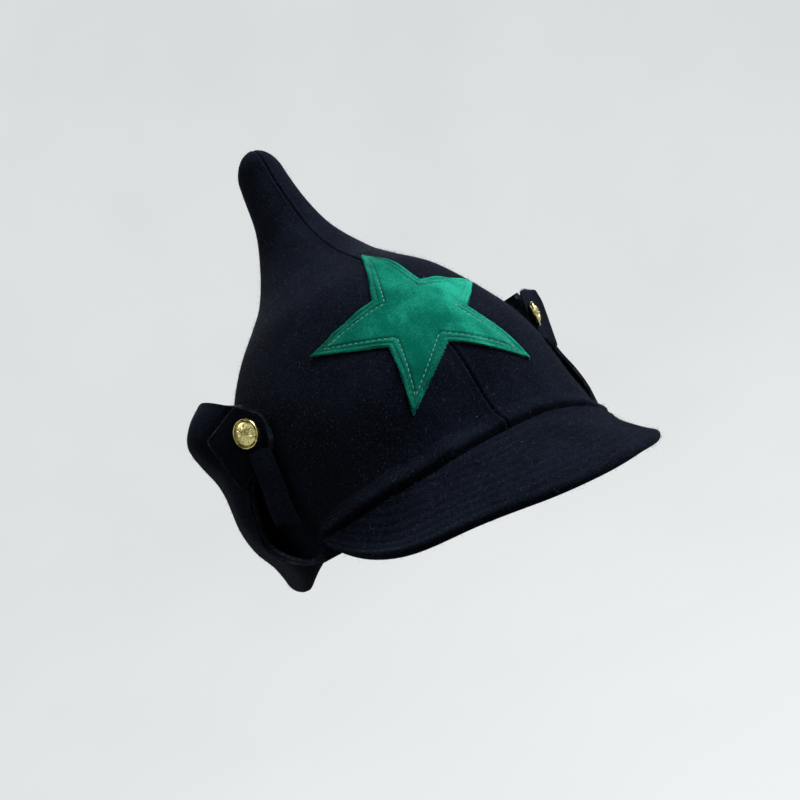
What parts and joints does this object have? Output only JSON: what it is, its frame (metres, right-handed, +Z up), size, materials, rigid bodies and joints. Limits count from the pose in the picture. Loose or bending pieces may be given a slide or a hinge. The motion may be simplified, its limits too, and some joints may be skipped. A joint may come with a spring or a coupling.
{
  "type": "budenovka",
  "caption": "Pointed wool felt cap with a curved peak, a turned-up neck flap buttoned at both sides and a velvet star on the front seam.",
  "frame": {"origin": "centre of the head opening, in the plane of the rim", "axes": "+Z up the crown, -Y to the front over the visor, +X to the wearer's left"},
  "size_m": [0.203, 0.2604, 0.2374],
  "materials": {
    "wool_felt": "matt fulled wool felt, very dark navy with pale stray fibres",
    "star_velvet": "short green velvet pile with a soft sheen",
    "brass": "polished stamped brass"
  },
  "bodies": {
    "root": {"crown_gore_right": "wool_felt", "crown_gore_left": "wool_felt", "crown_gore_back": "wool_felt", "visor": "wool_felt", "visor_welt": "wool_felt", "star_patch": "star_velvet", "neck_flap": "wool_felt", "lappet_right": "wool_felt", "lappet_left": "wool_felt", "tongue_right": "wool_felt", "tongue_left": "wool_felt", "button_right": "brass", "button_left": "brass"}
  },
  "joints": []
}
